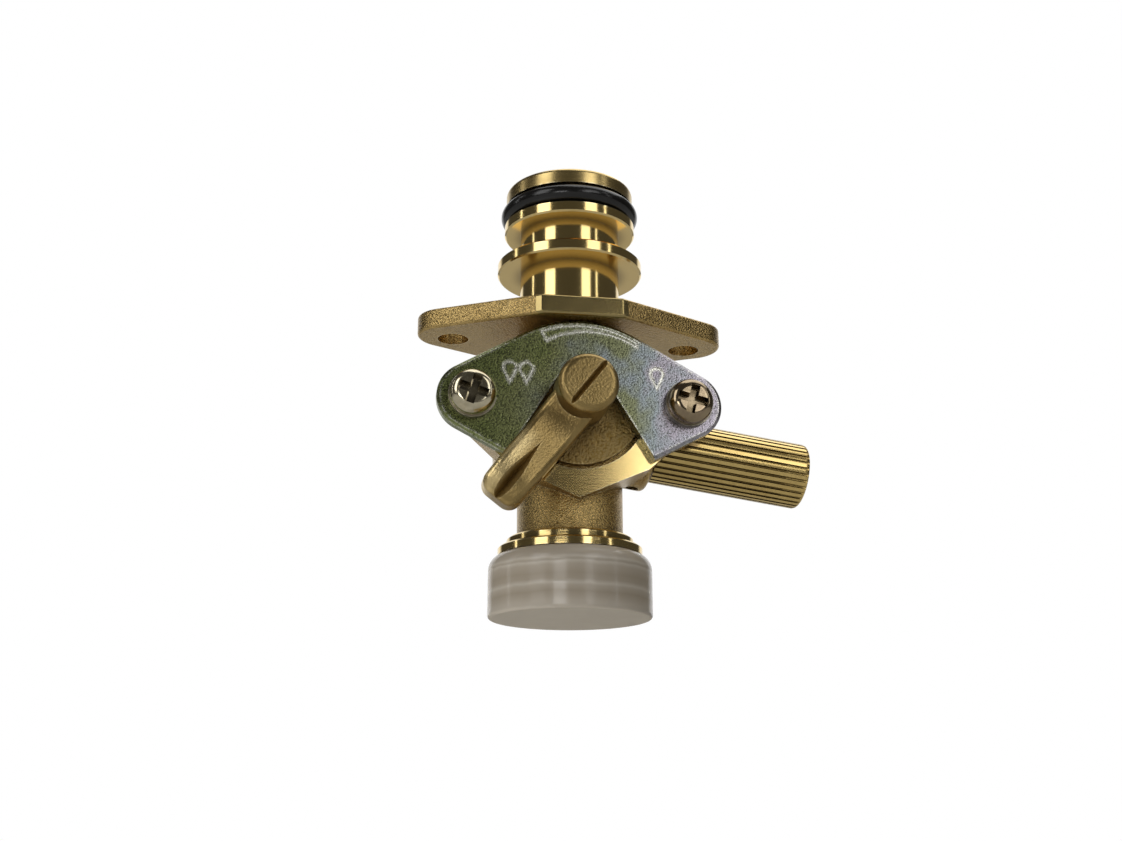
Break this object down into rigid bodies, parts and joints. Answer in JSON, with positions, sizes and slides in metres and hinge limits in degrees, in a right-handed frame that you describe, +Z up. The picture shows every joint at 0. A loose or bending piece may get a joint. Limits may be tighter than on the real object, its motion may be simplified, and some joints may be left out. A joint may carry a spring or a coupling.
{
  "type": "water inlet valve",
  "caption": "Brass water inlet valve with a spigot, bolt flange, flow lever behind a fork plate, knurled drain knob and a push-on cap over the inlet thread.",
  "frame": {"origin": "on the pipe axis at the upper face of the flange, midway between the bolt holes", "axes": "+Z up the pipe to the spigot, +X to the drain knob, -Y to the lever and its plate"},
  "size_m": [0.0641, 0.0325, 0.0722],
  "materials": {
    "cast_brass": "cast and part turned",
    "lever_brass": "cast, tumbled",
    "turned_brass": "turned and knurled",
    "zinc_plate": "zinc plated, iridescent",
    "screw_steel": "yellow plated",
    "washer_steel": "dark plated",
    "rubber": "smooth black",
    "strainer_plastic": "plain",
    "strainer_wire": "woven wire",
    "cap_plastic": "milky, see-through"
  },
  "bodies": {
    "valve": {"valve_body": "cast_brass", "spigot_o_ring": "rubber", "retaining_plate": "zinc_plate", "plate_screws": "screw_steel", "lock_washers": "washer_steel", "strainer_frame": "strainer_plastic", "strainer_mesh": "strainer_wire"},
    "lever": {"flow_lever": "lever_brass", "plug_front_o_ring": "rubber", "plug_back_o_ring": "rubber"},
    "drain_seal": {"drain_o_ring": "rubber"},
    "drain": {"drain_knob": "turned_brass"},
    "cap": {"inlet_cap": "cap_plastic"}
  },
  "joints": [
    {"name": "lever_turn", "type": "hinge", "parent": "valve", "child": "lever", "pos_m": [0, 0, -0.016], "axis": [0, -1, 0], "range_deg": [0, 76]},
    {"name": "drain_lift", "type": "slide", "parent": "valve", "child": "drain_seal", "axis": [0.9893, 0, -0.1461], "range_m": [0, 0.00101]},
    {"name": "drain_turn", "type": "hinge", "parent": "drain_seal", "child": "drain", "pos_m": [0.01979, 0, -0.02162], "axis": [0.9893, 0, -0.1461], "range_deg": [0, 360]},
    {"name": "cap_pull", "type": "slide", "parent": "valve", "child": "cap", "axis": [0, 0, -1], "range_m": [0, 0.01]}
  ],
  "couplings": [
    {"joint": "drain_lift", "follows": "drain_turn", "m_per_rad": 0.00015915}
  ]
}
